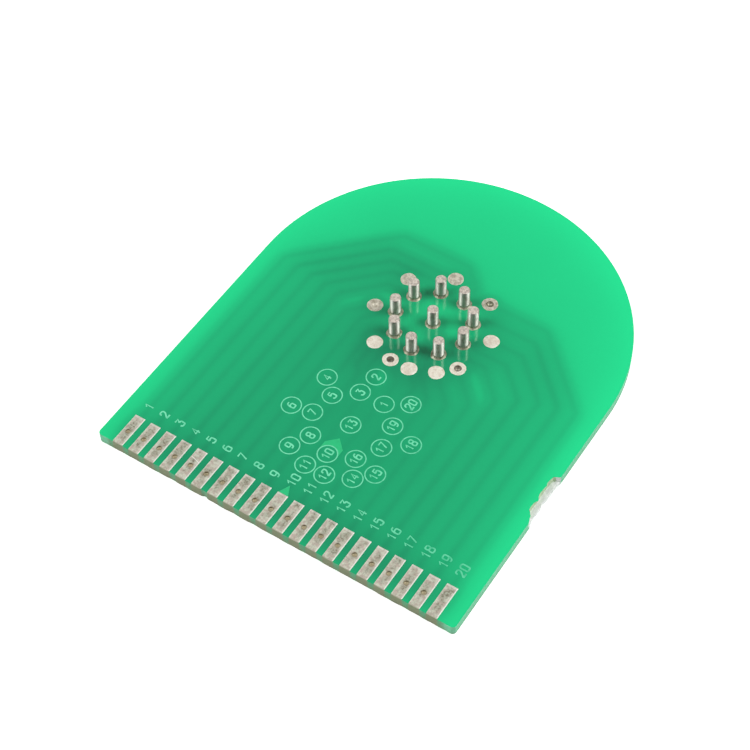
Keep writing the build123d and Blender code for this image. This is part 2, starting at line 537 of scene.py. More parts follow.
@dataclass(frozen=True)
class InkFinish(CloudyFinish):
    """Thin pale print, patchy and fainter towards the last contacts."""

    clouds: Grain = Grain(0.6 * MM)
    rough: Span = (0.3, 0.5)
    relief: Span = (0.01 * MM, 0.4)
    level: Span | None = (0.42, 0.7)
    weight: float = 0.6
    fade_along: Span = (-4 * MM, 26 * MM)
    fade_shares: Span = (0.0, 0.55)

    def share(self, made: Paint, clouds: Value) -> Value:
        """How faded the print is."""
        return super().share(made, clouds) + made.axis("X").step(*self.fade_along, *self.fade_shares)


NUMBER_INK = InkFinish("pale_ink", screen(124, 232, 186), screen(70, 198, 146))
POINTER_INK = InkFinish("pale_green_print", screen(46, 200, 130), screen(40, 186, 120))


@dataclass(frozen=True)
class PinFinish:
    """The turned and tinned side of a pin, with fine rings."""

    metal: Colour = screen(222, 220, 212)
    worn: Colour = screen(178, 172, 158)
    stain: Grain = Grain(0.9 * MM, squeeze=(1, 1, 0.5))
    worn_level: Span = (0.45, 0.75)
    rough: Span = (0.5, 0.6)
    brushed: float = 0.97
    brushed_turn: float = 0.25
    rings: Grain = Grain(0.5 * MM, squeeze=(0.3, 0.3, 11))
    relief: Span = (0.02 * MM, 0.35)

    def paint(self) -> Material:
        """Makes the material."""
        made = Paint("turned_pin")
        stain = made.grain(self.stain)
        made.set(
            base_color=made.mix(stain.step(*self.worn_level), self.metal, self.worn),
            roughness=stain.into(*self.rough),
            metallic=1.0,
            anisotropic=self.brushed,
            anisotropic_rotation=self.brushed_turn,
        )
        made.bump(made.grain(self.rings), *self.relief)
        return made.material


class SolderLook(Enum):
    """How a solder joint has aged."""

    BRIGHT = "bright_solder"
    DULL = "dull_solder"
    COLLAR = "flux_collar"
    DEEP = "deep_solder"


@dataclass(frozen=True)
class SolderFinish:
    """Tin-lead solder in one of its looks."""

    look: SolderLook
    clean: Colour
    dirty: Colour
    rough: float
    metal: float
    clouds: Grain = Grain(0.5 * MM)
    grit: Grain = Grain(0.14 * MM, 2.0)
    dirt_grit: float = 0.3
    dirt_level: Span = (0.36, 0.66)
    rough_change: float = 0.25
    relief_grit: float = 0.4
    relief: Span = (0.05 * MM, 0.5)

    def paint(self) -> Material:
        """Makes the material."""
        made = Paint(self.look.value)
        clouds = made.grain(self.clouds)
        grit = made.grain(self.grit)
        dirt = clouds * (1 - self.dirt_grit) + grit * self.dirt_grit
        made.set(
            base_color=made.mix(dirt.step(*self.dirt_level), self.clean, self.dirty),
            roughness=self.rough + self.rough_change * (grit - 0.5),
            metallic=self.metal,
        )
        made.bump(clouds * (1 - self.relief_grit) + grit * self.relief_grit, *self.relief)
        return made.material


SOLDERS = (
    SolderFinish(SolderLook.BRIGHT, screen(252, 246, 230), screen(228, 214, 194), 0.34, 0.1),
    SolderFinish(SolderLook.DULL, screen(230, 224, 206), screen(176, 168, 148), 0.4, 0.2),
    SolderFinish(SolderLook.COLLAR, screen(186, 184, 162), screen(112, 112, 86), 0.42, 0.6),
    SolderFinish(SolderLook.DEEP, screen(182, 174, 158), screen(112, 104, 90), 0.34, 0.4),
)


# Mesh helpers


def cad_copy(node: str) -> BMesh:
    """A copy of a CAD node's mesh with its loose triangles merged."""
    mesh = bmesh.new()
    mesh.from_mesh(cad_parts[node].data)
    bmesh.ops.remove_doubles(mesh, verts=mesh.verts[:], dist=MERGE)
    return mesh


def placed(name: str, data: bpy.types.ID) -> bpy.types.Object:
    """A new object in the scene."""
    made = bpy.data.objects.new(name, data)
    bpy.context.scene.collection.objects.link(made)
    return made


def stored(name: str, mesh: BMesh) -> bpy.types.Mesh:
    """A new mesh with the shape of a bmesh, which is freed."""
    data = bpy.data.meshes.new(name)
    mesh.to_mesh(data)
    mesh.free()
    return data


def finish_piece(mesh: BMesh, name: str, finishes: Sequence[Material],
                 nodes: Sequence[str] = ()) -> bpy.types.Object:
    """Turns a bmesh into a piece that rides on the board.

    Args:
        mesh: The shape, which is freed.
        name: The piece's name.
        finishes: Its materials, in the order of the faces' numbers.
        nodes: The CAD nodes that it stands for.

    Returns:
        The piece's object.
    """
    data = stored(name, mesh)
    for finish in finishes:
        data.materials.append(finish)
    if data.has_custom_normals:
        data.attributes.remove(data.attributes["custom_normal"])
    data.polygons.foreach_set("use_smooth", [True] * len(data.polygons))
    data.set_sharp_from_angle(angle=SHARP_ANGLE)
    piece = placed(name, data)
    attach(piece, ROOT)
    if nodes:
        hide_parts(*nodes)
    LOG.info("%s: %d faces", name, len(data.polygons))
    return piece


def spin_into(mesh: BMesh, profile: Sequence[Span], centre: Vector, steps: int,
              closed: bool = False) -> None:
    """Adds a round to a mesh by turning a profile about an upright axis.

    Args:
        mesh: The mesh that takes it.
        profile: Radius and height of each point, from the axis back to the axis unless it is closed.
        centre: A point on the axis.
        steps: How many sides the round has.
        closed: Whether the last point joins the first, as in a ring.
    """
    points = [mesh.verts.new((centre.x + radius, centre.y, height)) for radius, height in profile]
    ends = [*points[1:], points[0]] if closed else points[1:]
    edges = [mesh.edges.new(pair) for pair in zip(points, ends)]
    bmesh.ops.spin(mesh, geom=[*points, *edges], cent=centre, axis=UP, angle=2 * math.pi,
                   steps=steps, use_merge=True)


def sealed(mesh: BMesh) -> BMesh:
    """Merges a mesh's doubled points and turns its faces outwards."""
    bmesh.ops.remove_doubles(mesh, verts=mesh.verts[:], dist=MERGE)
    bmesh.ops.recalc_face_normals(mesh, faces=mesh.faces[:])
    return mesh


def spun(profile: Sequence[Span], centre: Vector, steps: int, closed: bool = False) -> BMesh:
    """A sealed round of its own, with the same values as for spin_into."""
    mesh = bmesh.new()
    spin_into(mesh, profile, centre, steps, closed)
    return sealed(mesh)


@dataclass(frozen=True)
class Wave:
    """One noise: how strong it is, how close its waves lie and where in the noise it starts."""

    strength: float
    close: float
    start: float


SOLDER_RUN = (Wave(1.0, 1.3, 0), Wave(0.5, 3.1, 7))


def wobble(mesh: BMesh, centre: Vector, inner: float, floor: float, reach: float,
           seed: float) -> None:
    """Makes a round's rim uneven, as solder runs.

    Args:
        mesh: The round.
        centre: A point on its axis.
        inner: The radius inside which nothing moves.
        floor: The height below which nothing moves.
        reach: How far the rim moves at most.
        seed: Where in the noise this round lies.
    """
    for point in mesh.verts:
        out = Vector((point.co.x - centre.x, point.co.y - centre.y, 0))
        if out.length <= inner or point.co.z < floor:
            continue
        way = out.normalized()
        push = 0.0
        for wave in SOLDER_RUN:
            spot = Vector((way.x * wave.close, way.y * wave.close, seed + wave.start))
            push += wave.strength * noise.noise(spot)
        point.co += way * push * reach * min(1.0, (out.length - inner) / inner)


def eased(value: float, start: float, end: float) -> float:
    """A smooth rise from zero at the start to one at the end."""
    share = min(1.0, max(0.0, (value - start) / (end - start)))
    return share * share * (3 - 2 * share)


def bell(distance: np.ndarray, width: float) -> np.ndarray:
    """A bell curve that is one in its middle."""
    return np.exp(-0.5 * (distance / width) ** 2)


def contact_x(number: int) -> float:
    """The middle of a contact along the edge."""
    across = [v.co.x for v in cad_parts[f"net_{number:02d}"].data.vertices if v.co.z > HIGH.z]
    return (min(across) + max(across)) / 2


def joint_of(number: int) -> Vector:
    """The middle of the pin or the soldered hole that a contact is wired to."""
    pin = f"pin_{number:02d}"
    low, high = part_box(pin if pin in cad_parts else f"hole_solder_{number:02d}")
    return (low + high) / 2


# Sub-assemblies


@dataclass
class UndersideShade:
    """Painted light and shade on the mask: the light from below through the board, held back where copper
    lies on the underside, lighter at the rims and darker round the key and the ring.
    """

    cell: float = 0.1 * MM
    blur_reach: float = 3.0
    line_blur: float = 0.3 * MM
    field_blur: float = 1.5 * MM
    rim_reach: float = 4.0 * MM
    far_blur: float = 4.0 * MM
    fan_blur: float = 0.8 * MM
    fan_share: float = 0.16
    contact_reach: float = 5.1 * MM
    contact_share: float = 0.72
    clear_level: float = 0.675
    line_dip: float = 0.09
    field_dip: float = 0.4
    far_dip: float = 0.4
    rim_gain: float = 0.165
    rim_line: float = 0.06
    rim_line_reach: float = 0.15 * MM
    key_place: float = -14.0 * MM
    key_blur: float = 9.0 * MM
    key_dip: float = 0.055
    key_haze: float = 0.7
    ring_blur: float = 9.0 * MM
    ring_haze: float = 0.8
    ring_dip: float = 0.04
    # Painted light: lighter towards the right side and towards the round end.
    side_gain: float = 0.01
    end_gain: float = 0.055
    low_level: float = 0.2
    high_level: float = 0.95
    level: np.ndarray = field(init=False)

    def __post_init__(self) -> None:
        """Works out the painted light and shade over the whole board from the copper of the nets, the rims
        and the dips.
        """
        wide = int(round((HIGH.x - LOW.x) / self.cell))
        long = int(round((HIGH.y - LOW.y) / self.cell))
        across = LOW.x + (np.arange(wide) + 0.5) * self.cell
        along = LOW.y + (np.arange(long) + 0.5) * self.cell
        copper = np.zeros((long, wide))
        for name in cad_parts:
            if name.startswith("net_"):
                self.lay_copper(name, copper, across, along)
        x, y = np.meshgrid(across, along)
        copper[y < LOW.y + self.contact_reach] *= self.contact_share
        lines = self.blur(copper, self.line_blur)
        fan = np.clip(self.blur(copper, self.fan_blur) / self.fan_share, 0, 1)
        fan = fan * fan * (3 - 2 * fan)
        fields = self.blur(copper, self.field_blur) * self.field_dip
        fields += self.blur(copper, self.far_blur) * fan * self.far_dip
        half = (HIGH.x - LOW.x) / 2
        centre_y = HIGH.y - half
        round_end = np.where(y > centre_y, half - np.hypot(x, y - centre_y), half)
        rim = np.minimum(half - np.abs(x), round_end)
        key = bell(np.hypot(x, y - self.key_place), self.key_blur)
        ring = bell(np.hypot(x, y - centre_y), self.ring_blur)
        lines *= (1 - self.key_haze * key) * (1 - self.ring_haze * ring)
        # Painted shade of the underside copper, and darker round the key and the ring of pins.
        light = self.clear_level - self.line_dip * lines - fields
        light -= self.key_dip * key + self.ring_dip * ring
        # Painted light coming in at the rims, and a thin painted dark line right at the rim.
        light += self.rim_gain * np.exp(-rim / self.rim_reach)
        light -= self.rim_line * np.exp(-rim / self.rim_line_reach)
        # Painted light: lighter towards the right side and towards the round end.
        light += self.side_gain * x / HIGH.x + self.end_gain * y / HIGH.y
        self.level = (light - self.low_level) / (self.high_level - self.low_level)

    def lay_copper(self, node: str, copper: np.ndarray, across: np.ndarray, along: np.ndarray) -> None:
        """Marks the cells that a net's underside covers.

        Args:
            node: The net's CAD node.
            copper: The cells, set to one where there is copper.
            across: The cells' places along X.
            along: The cells' places along Y.
        """
        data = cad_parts[node].data
        data.calc_loop_triangles()
        for triangle in data.loop_triangles:
            corners = [data.vertices[i].co for i in triangle.vertices]
            if max(c.z for c in corners) > LOW.z / 2:
                continue
            (ax, ay, _), (bx, by, _), (cx, cy, _) = corners
            area = (by - cy) * (ax - cx) + (cx - bx) * (ay - cy)
            left, right = np.searchsorted(across, (min(ax, bx, cx), max(ax, bx, cx)))
            near, far = np.searchsorted(along, (min(ay, by, cy), max(ay, by, cy)))
            if abs(area) < MERGE ** 2 or right <= left or far <= near:
                continue
            x, y = np.meshgrid(across[left:right], along[near:far])
            first = ((by - cy) * (x - cx) + (cx - bx) * (y - cy)) / area
            second = ((cy - ay) * (x - cx) + (ax - cx) * (y - cy)) / area
            covered = (first >= 0) & (second >= 0) & (first + second <= 1)
            copper[near:far, left:right][covered] = 1.0

    def blur(self, cells: np.ndarray, width: float) -> np.ndarray:
        """A map spread evenly to all sides, over a width in metres."""
        spread = width / self.cell
        half = int(self.blur_reach * spread)
        weights = bell(np.arange(-half, half + 1), spread)
        weights /= weights.sum()
        for axis in (1, 0):
            cells = np.apply_along_axis(lambda line: np.convolve(line, weights)[half:-half], axis, cells)
        return cells

    def at(self, x: np.ndarray, y: np.ndarray) -> np.ndarray:
        """The painted light level at places on the board, from zero, shaded green, to one, lit green."""
        row = np.clip(((y - LOW.y) / self.cell).astype(int), 0, self.level.shape[0] - 1)
        col = np.clip(((x - LOW.x) / self.cell).astype(int), 0, self.level.shape[1] - 1)
        return self.level[row, col]


class BoardFace(Enum):
    """The surfaces of the laminate, in the order of its materials."""

    MASK = 0
    EDGE = 1
    BARE = 2
    VIA = 3
    BREAK = 4


@dataclass
class Board:
    """The laminate, cut fine enough to carry the painted shade of the tracks below it."""

    shade: UndersideShade
    step: float = 0.28 * MM
    chip_depth: float = 1.2 * MM
    chip_from: float = 17.9 * MM
    chip_to: float = 26.4 * MM
    chip_rim: float = 1.0 * MM
    chip_blend: float = 0.9 * MM
    ledge: float = 0.6 * MM
    bare_reach: float = 0.6 * MM
    fray: Wave = Wave(0.1 * MM, 2200, 0)
    ragged: float = 0.2 * MM
    tear_waves: tuple[Wave, ...] = (Wave(1.0, 900, 0), Wave(0.5, 2300, 5))
    tear_foot: float = 0.15
    spur: float = 0.32 * MM
    spur_at: float = 21.6 * MM
    spur_width: float = 0.4 * MM
    saw_wave: Wave = Wave(0.1 * MM, 620, 3)
    saw_bias: float = 0.25
    saw_loss: float = 0.65
    saw_margin: float = 1.0 * MM
    front_skin: float = 0.001 * MM
    nick: float = 0.24 * MM
    nick_at: float = -10.16 * MM
    nick_width: float = 0.32 * MM
    via_back: float = 4.0 * MM
    via_margin: float = 2.0 * MM
    flat: float = 0.5
    under_level: float = 0.6

    def cut(self, mesh: BMesh) -> None:
        """Cuts the mesh into strips along X, and its top face along Y too."""
        for axis in range(2):
            way = Vector((axis == 0, axis == 1, 0))
            geom = [*mesh.verts, *mesh.edges, *mesh.faces]
            if axis == 1:
                top = [f for f in mesh.faces if self.is_cut_along(f)]
                geom = [*{v for f in top for v in f.verts}, *{e for f in top for e in f.edges}, *top]
            count = round((HIGH[axis] - LOW[axis]) / self.step)
            step = (HIGH[axis] - LOW[axis]) / count
            for number in range(1, count):
                geom = bmesh.ops.bisect_plane(
                    mesh, geom=geom, dist=MERGE, plane_co=way * (LOW[axis] + number * step), plane_no=way,
                )["geom"]
            mesh.normal_update()

    def in_chip(self, place: Vector) -> bool:
        """Whether a place is in the chip on the right-hand edge."""
        along = place.y - LOW.y
        return place.x > HIGH.x - self.chip_depth and self.chip_from < along < self.chip_to

    def is_cut_along(self, face: bmesh.types.BMFace) -> bool:
        """Whether a face is cut along Y too: the top and the chip."""
        place = face.calc_center_median()
        on_top = face.normal.z > self.flat and place.z > HIGH.z - MERGE
        return on_top or (self.in_chip(place) and place.z > LOW.z + MERGE)

    def tear(self, place: Vector) -> float:
        """How far the torn rim of the chip moves a point along X, in metres."""
        along = place.y - LOW.y
        rim = HIGH.x - self.chip_rim
        share = eased(along, self.chip_from, self.chip_from + self.chip_blend)
        share *= eased(along, self.chip_to, self.chip_to - self.chip_blend)
        share *= eased(place.x, rim - self.chip_blend, rim) * eased(place.x, HIGH.x, rim + self.ragged)
        share *= self.tear_foot + (1 - self.tear_foot) * eased(place.z, LOW.z + self.ledge, HIGH.z)
        rough = sum(
            wave.strength * noise.noise(Vector((wave.start, along * wave.close, 0)))
            for wave in self.tear_waves
        )
        spur = self.spur * math.exp(-((along - self.spur_at) / self.spur_width) ** 2)
        return share * (self.ragged * rough + spur)

    def saw(self, place: Vector) -> float:
        """How far the saw cut moves a point of the contact edge back along Y, in metres."""
        if place.y > LOW.y + self.front_skin or abs(place.x) > HIGH.x - self.saw_margin:
            return 0.0
        share = 1 - self.saw_loss * (place.z - LOW.z) / (HIGH.z - LOW.z)
        spot = Vector((place.x * self.saw_wave.close, self.saw_wave.start, 0))
        wave = self.saw_wave.strength * max(0.0, noise.noise(spot) + self.saw_bias)
        nick = self.nick * math.exp(-((place.x - self.nick_at) / self.nick_width) ** 2)
        return share * (wave + nick)

    def sort_face(self, face: bmesh.types.BMFace) -> BoardFace:
        """The surface that a face of the cut mesh belongs to."""
        place = face.calc_center_median()
        on_top = place.z > HIGH.z - MERGE
        if self.in_chip(place) and not on_top and place.z > LOW.z + MERGE:
            outer = place.x > HIGH.x - self.bare_reach
            return BoardFace.BARE if outer or face.normal.z > self.flat else BoardFace.BREAK
        if abs(face.normal.z) > self.flat:
            return BoardFace.MASK
        near_front = LOW.y + self.front_skin < place.y < LOW.y + self.via_back
        if near_front and abs(place.x) < HIGH.x - self.via_margin:
            return BoardFace.VIA
        return BoardFace.EDGE

    def build(self, finishes: dict[BoardFace, Material]) -> bpy.types.Object:
        """Makes the laminate.

        Args:
            finishes: The material of each surface.

        Returns:
            The piece, with its glow attribute.
        """
        mesh = cad_copy("board")
        mesh.normal_update()
        self.cut(mesh)
        for face in mesh.faces:
            face.material_index = self.sort_face(face).value
        middle = (LOW.z + HIGH.z) / 2
        for point in mesh.verts:
            inner = LOW.z + MERGE < point.co.z < middle
            if inner and self.in_chip(point.co):
                point.co.z += self.fray.strength * noise.noise(point.co * self.fray.close)
            if point.co.z > LOW.z + MERGE:
                point.co.x += self.tear(point.co)
            point.co.y += self.saw(point.co)
        surfaces = [finishes[face] for face in BoardFace]
        piece = finish_piece(mesh, "laminate_board", surfaces, ["board"])
        places = np.zeros(len(piece.data.vertices) * 3)
        piece.data.vertices.foreach_get("co", places)
        places = places.reshape(-1, 3)
        level = self.shade.at(places[:, 0], places[:, 1]).astype(np.float32)
        level[places[:, 2] < LOW.z + MERGE] = self.under_level
        glow = piece.data.attributes.new("glow", "FLOAT", "POINT")
        glow.data.foreach_set("value", level)
        return piece


class NetFace(Enum):
    """The surfaces of a copper net, in the order of its materials."""

    TIN = 0
    TRACK = 1
    PAD = 2


@dataclass
class CopperNets:
    """The contacts along the edge, and the tracks and pads on the underside."""

    contact_reach: float = 5.055 * MM
    pad_half: float = 0.955 * MM
    pad_sides: int = 8
    edge_round: float = 0.03 * MM
    skin: float = 0.1 * MM

    def pad_ways(self) -> list[Vector]:
        """The ways that the sides of a pad face."""
        turns = [2 * math.pi * side / self.pad_sides for side in range(self.pad_sides)]
        return [Vector((math.cos(turn), math.sin(turn), 0)) for turn in turns]

    def split(self, mesh: BMesh, joint: Vector, back: float) -> None:
        """Cuts a net where its contact ends and round its pad.

        Args:
            mesh: The net.
            joint: The middle of its pad.
            back: Where its contact ends along Y.
        """
        bmesh.ops.triangulate(mesh, faces=mesh.faces[:])
        cuts = [(Vector((0, back, 0)), Vector((0, 1, 0)))]
        cuts += [(joint + way * self.pad_half, way) for way in self.pad_ways()]
        for place, way in cuts:
            bmesh.ops.bisect_plane(mesh, geom=[*mesh.verts, *mesh.edges, *mesh.faces], dist=MERGE,
                                   plane_co=place, plane_no=way)

    def sort_face(self, face: bmesh.types.BMFace, joint: Vector) -> NetFace:
        """The surface that a face of a cut net belongs to, from the middle of the net's pad."""
        place = face.calc_center_median()
        if place.z > LOW.z + self.skin or place.y < LOW.y + self.contact_reach:
            return NetFace.TIN
        aside = max(way.dot(place - joint) for way in self.pad_ways())
        return NetFace.PAD if aside < self.pad_half else NetFace.TRACK

    def build(self, finishes: dict[NetFace, Material]) -> None:
        """Makes the nets, with softly rounded edges, in the material of each surface."""
        for number in CONTACTS:
            node = f"net_{number:02d}"
            joint = joint_of(number)
            mesh = cad_copy(node)
            bmesh.ops.dissolve_limit(mesh, angle_limit=FLAT_ANGLE, verts=mesh.verts[:], edges=mesh.edges[:])
            sharp = [e for e in mesh.edges if e.is_manifold and e.calc_face_angle(0) > SHARP_ANGLE]
            bmesh.ops.bevel(mesh, geom=sharp, offset=self.edge_round, offset_type="OFFSET", segments=2,
                            profile=0.5, affect="EDGES", material=-1, clamp_overlap=True)
            self.split(mesh, joint, LOW.y + self.contact_reach)
            for face in mesh.faces:
                face.material_index = self.sort_face(face, joint).value
            finish_piece(mesh, f"copper_{node}", [finishes[f] for f in NetFace], [node])


@dataclass
class ViaFlux:
    """Old flux that stands, slightly sunk, in the open vias."""

    radius: float = 0.295 * MM
    depth: float = 0.45 * MM
    sink: float = 0.2 * MM
    climb: float = 0.08 * MM
    bowl: tuple[Span, ...] = ((1, 1), (0.85, 0.4), (0.5, 0.1), (0, 0))
    sides: int = 24

    def build(self, finish: Material) -> None:
        """Makes the flux of every open via as one piece."""
        top = HIGH.z
        foot = [(0, top - self.depth), (self.radius, top - self.depth)]
        bowl = [(self.radius * out, top - self.sink + self.climb * up) for out, up in self.bowl]
        mesh = bmesh.new()
        for number in OPEN_VIAS:
            spin_into(mesh, [*foot, *bowl], Vector((contact_x(number), ROW.via_y, top)), self.sides)
        finish_piece(sealed(mesh), "via_flux", [finish])


@dataclass
class Pins:
    """The ring of turned pins, the one in the middle, and the solder round their feet."""

    numbers: tuple[int, ...] = (1, 3, 5, 7, 8, 10, 13, 16, 17, 19)
    ragged: dict[int, float] = field(default_factory=lambda: {8: 0.34, 10: 0.28, 16: 0.24})
    sides: int = 48
    edge: float = 0.13 * MM
    tail: float = 0.5 * MM
    foot: float = 0.3 * MM
    climb: float = 0.36 * MM
    gap: float = 0.01 * MM
    even_run: float = 0.15
    seed_step: float = 1.7
    crown_turns: tuple[float, ...] = (0, 22.5, 45, 67.5, 90)
    crown_flat: float = 0.95
    top_ring: float = 0.5
    side_shares: tuple[float, ...] = (0.1, 0.4, 0.7)
    climb_shares: tuple[float, ...] = (0, 0.06, 0.16, 0.3, 0.48, 0.7, 0.9)
    foot_power: float = 2.2
    climb_power: float = 1.15

    def build(self, side: Material, top: Material, solder: Material) -> None:
        """Makes every pin, with its turned side and its cut top, and its solder."""
        for number in self.numbers:
            self.build_pin(f"pin_{number:02d}", side, top)
            self.build_solder(number, solder)

    def build_pin(self, node: str, side: Material, top: Material) -> None:
        """Makes one pin, its top edge rounded.

        Args:
            node: The pin's CAD node.
            side: The material of the turned side.
            top: The material of the cut top.
        """
        low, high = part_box(node)
        radius = (high.x - low.x) / 2
        face = HIGH.z
        crown = [
            (radius - self.edge * (1 - math.cos(turn)), high.z - self.edge * (1 - math.sin(turn)))
            for turn in map(math.radians, self.crown_turns)
        ]
        profile = [
            (0, low.z), (self.tail, low.z), (self.tail, face), (radius, face),
            *[(radius, face + (high.z - self.edge - face) * share) for share in self.side_shares],
            *crown, (radius * self.top_ring, high.z), (0, high.z),
        ]
        mesh = spun(profile, (low + high) / 2, self.sides)
        for face_up in mesh.faces:
            face_up.material_index = int(face_up.normal.z > self.crown_flat)
        finish_piece(mesh, f"turned_{node}", [side, top], [node])

    def build_solder(self, number: int, finish: Material) -> None:
        """Makes the solder that climbs one pin.

        Args:
            number: The pin's contact.
            finish: The solder's material.
        """
        node = f"pin_solder_{number:02d}"
        low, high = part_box(f"pin_{number:02d}")
        centre = (low + high) / 2
        radius = (high.x - low.x) / 2 + self.gap
        base = HIGH.z
        ring = [(radius, base)]
        for share in self.climb_shares:
            out = self.foot * (1 - share) ** self.foot_power
            ring.append((radius + out, base + self.climb * share ** self.climb_power))
        ring.append((radius, base + self.climb))
        mesh = spun(ring, centre, self.sides, closed=True)
        reach = self.ragged.get(number, self.even_run) * MM
        wobble(mesh, centre, radius + self.gap, base - MERGE, reach, number * self.seed_step)
        finish_piece(mesh, f"collar_{node}", [finish], [node])


class HoleShape(Enum):
    """How the solder stands in a hole."""

    DOME = "dome"
    DISH = "dish"


@dataclass(frozen=True)
class HoleState:
    """One soldered hole: its shape and its look."""

    shape: HoleShape
    look: SolderLook
    sink: float = 0.0
    inner: SolderLook | None = None


@dataclass
class SolderedHoles:
    """The outer ring of holes, filled with solder or sunk."""

    states: dict[int, HoleState] = field(default_factory=lambda: {
        2: HoleState(HoleShape.DOME, SolderLook.DULL),
        4: HoleState(HoleShape.DOME, SolderLook.DULL),
        6: HoleState(HoleShape.DISH, SolderLook.DULL, 0.22 * MM, SolderLook.DULL),
        9: HoleState(HoleShape.DOME, SolderLook.BRIGHT),
        11: HoleState(HoleShape.DISH, SolderLook.BRIGHT, 0.7 * MM, SolderLook.DEEP),
        12: HoleState(HoleShape.DOME, SolderLook.BRIGHT),
        14: HoleState(HoleShape.DOME, SolderLook.BRIGHT),
        15: HoleState(HoleShape.DISH, SolderLook.BRIGHT, 0.5 * MM, SolderLook.DEEP),
        18: HoleState(HoleShape.DOME, SolderLook.BRIGHT),
        20: HoleState(HoleShape.DISH, SolderLook.DULL, 0.4 * MM, SolderLook.COLLAR),
    })
    bore: float = 0.55 * MM
    sides: int = 48
    run: float = 0.05 * MM
    seed_step: float = 2.3
    swell_turns: tuple[float, ...] = (15, 35, 55, 75)
    dome_power: float = 0.8
    shoulder: float = 0.45
    lip: Span = (0.97, 0.2)
    bowl: tuple[Span, ...] = ((0.88, 0.15), (0.6, 0.7), (0.3, 0.92), (0, 1))

    def profile(self, state: HoleState, base: float, low: Vector, high: Vector) -> list[Span]:
        """The outline of one joint, from its foot up to its middle.

        Args:
            state: Its shape and how far it is sunk.
            base: The height of the board's face.
            low: The lowest corner of its CAD node.
            high: The highest corner.

        Returns:
            Radius and height of each point.
        """
        rim = (high.x - low.x) / 2
        rise = high.z - base
        foot = [(0, low.z), (self.bore, low.z), (self.bore, base), (rim, base)]
        turns = [math.radians(angle) for angle in self.swell_turns]
        if state.shape is HoleShape.DOME:
            swell = [(rim * math.cos(t) ** self.dome_power, base + rise * math.sin(t)) for t in turns]
            return [*foot, *swell, (0, high.z)]
        shoulder = self.bore + (rim - self.bore) * self.shoulder
        swell = [(shoulder + (rim - shoulder) * math.cos(t), base + rise * math.sin(t)) for t in turns]
        lip = (self.bore * self.lip[0], high.z - rise * self.lip[1])
        bowl = [(self.bore * out, base - state.sink * down) for out, down in self.bowl]
        return [*foot, *swell, lip, *bowl]

    def build(self, finishes: dict[SolderLook, Material]) -> None:
        """Makes every soldered hole in the materials of its looks."""
        base = HIGH.z
        for number, state in self.states.items():
            node = f"hole_solder_{number:02d}"
            low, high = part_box(node)
            centre = (low + high) / 2
            mesh = spun(self.profile(state, base, low, high), centre, self.sides)
            for face in mesh.faces:
                face.material_index = int(face.calc_center_median().z < base)
            wobble(mesh, centre, self.bore, base - MERGE, self.run, number * self.seed_step)
            looks = [finishes[state.look], finishes[state.inner or state.look]]
            finish_piece(mesh, f"joint_{node}", looks, [node])


@dataclass(frozen=True)
class Stroke:
    """One pen stroke of a digit, in shares of its width and height."""

    points: tuple[tuple[float, float], ...]
    smooth: bool = True


DIGITS: dict[str, tuple[Stroke, ...]] = {
    "0": (Stroke(((0.5, 1), (0, 1), (0, 0.5), (0, 0), (0.5, 0), (1, 0), (1, 0.5), (1, 1), (0.5, 1))),),
    "1": (Stroke(((0.15, 0.72), (0.6, 1), (0.6, 0)), False),),
    "2": (Stroke(((0.02, 0.72), (0.05, 1), (0.5, 1.02), (1, 0.98), (0.98, 0.6), (0.5, 0.35), (0, 0))),
          Stroke(((0, 0), (1, 0)), False)),
    "3": (Stroke(((0.05, 1), (0.95, 1), (0.45, 0.6)), False),
          Stroke(((0.45, 0.6), (1, 0.62), (1, 0.3), (0.95, 0), (0.5, -0.02), (0.1, 0), (0, 0.22)))),
    "4": (Stroke(((0.7, 0), (0.7, 1), (0, 0.3), (1, 0.3)), False),),
    "5": (Stroke(((0.95, 1), (0.15, 1), (0.08, 0.55)), False),
          Stroke(((0.08, 0.55), (0.5, 0.7), (1, 0.62), (1, 0.3), (0.95, 0), (0.5, -0.02), (0.1, 0),
                  (0, 0.18)))),
    "6": (Stroke(((0.85, 0.95), (0.3, 1.05), (0, 0.6), (0, 0.28), (0.05, 0), (0.5, -0.02), (1, 0),
                  (1, 0.3), (1, 0.6), (0.5, 0.62), (0.1, 0.58), (0.02, 0.35))),),
    "7": (Stroke(((0, 1), (1, 1), (0.35, 0)), False),),
    "8": (Stroke(((0.5, 0.54), (0.05, 0.56), (0.06, 1), (0.5, 1.02), (0.94, 1), (0.95, 0.56), (0.5, 0.54),
                  (0, 0.5), (0, 0), (0.5, -0.02), (1, 0), (1, 0.5), (0.5, 0.54))),),
    "9": (Stroke(((0.15, 0.05), (0.7, -0.05), (1, 0.4), (1, 0.72), (0.95, 1), (0.5, 1.02), (0, 1),
                  (0, 0.7), (0, 0.4), (0.5, 0.38), (0.9, 0.42), (0.98, 0.65))),),
}


@dataclass(frozen=True)
class Lettering:
    """The size of a number's digits, and how far apart they start."""

    width: float
    height: float
    advance: float


